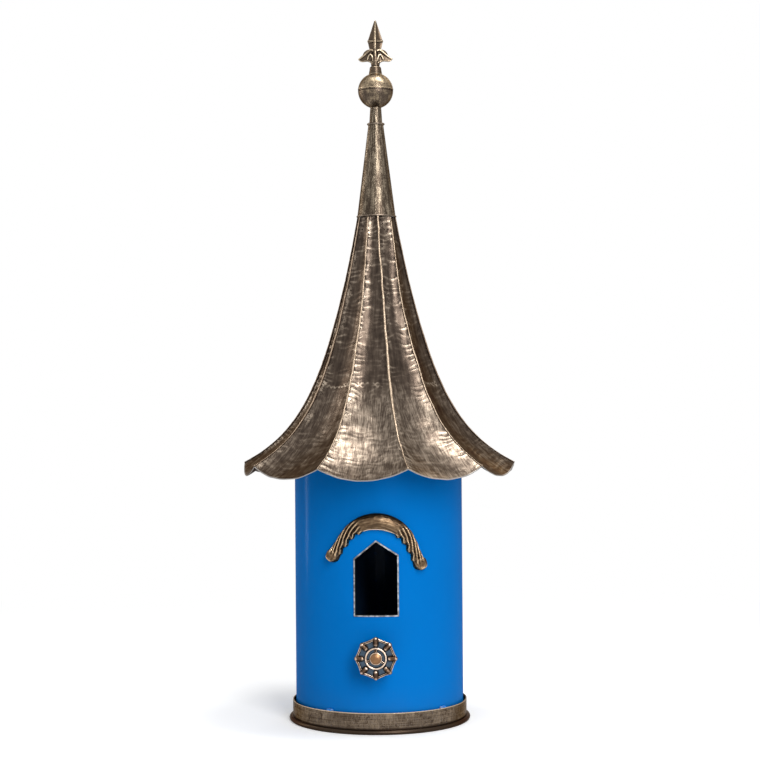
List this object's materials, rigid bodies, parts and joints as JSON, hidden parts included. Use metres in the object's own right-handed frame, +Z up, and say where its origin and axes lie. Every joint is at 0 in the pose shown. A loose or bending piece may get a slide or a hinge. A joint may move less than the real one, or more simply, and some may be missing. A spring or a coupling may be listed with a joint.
{
  "type": "metal birdhouse",
  "caption": "Free-standing round metal birdhouse: blue drum with a house-shaped entrance under a leaf arch, handwheel perch, flared hammered petal roof, spire, ball and spear finial.",
  "frame": {"origin": "on the ground in the middle of the drum's foot, on the vertical axis of drum, roof and spire", "axes": "+Z up, along the spire; -Y out of the entrance, which faces the front; +X to the viewer's right"},
  "size_m": [0.3258, 0.3212, 0.8364],
  "materials": {
    "base_bronze": "brushed antique bronze",
    "drum_blue": "satin paint",
    "trim_metal": "bright bent strip",
    "arch_bronze": "cast, dark in the grooves",
    "wheel_bronze": "cast and worn bright",
    "bolt_copper": "dull copper colour",
    "spacer_bronze": "dull",
    "inner_steel": "plain",
    "petal_bronze": "hammered, dark patina wiped bright on the seams",
    "wire_bronze": "drawn wire",
    "spire_bronze": "brushed lengthwise",
    "ball_bronze": "dark patina, irregular seam",
    "finial_bronze": "cast, worn bright on the edges"
  },
  "bodies": {
    "root": {"floor_plate": "base_bronze", "base_band": "base_bronze", "base_tacks": "base_bronze", "body_shell": "drum_blue", "entrance_trim": "trim_metal", "door_arch": "arch_bronze", "perch_wheel": "wheel_bronze", "perch_bolt": "bolt_copper", "perch_spacer": "spacer_bronze", "perch_washer": "inner_steel", "perch_nut": "inner_steel", "roof_petal_01": "petal_bronze", "roof_petal_02": "petal_bronze", "roof_petal_03": "petal_bronze", "roof_petal_04": "petal_bronze", "roof_petal_05": "petal_bronze", "roof_petal_06": "petal_bronze", "roof_petal_07": "petal_bronze", "roof_petal_08": "petal_bronze", "roof_petal_09": "petal_bronze", "roof_petal_10": "petal_bronze", "spire_ring": "wire_bronze", "neck_ring": "wire_bronze", "spire_cone": "spire_bronze", "neck_cone": "spire_bronze", "ball_lower": "ball_bronze", "ball_upper": "ball_bronze", "finial_spear": "finial_bronze"}
  },
  "joints": []
}
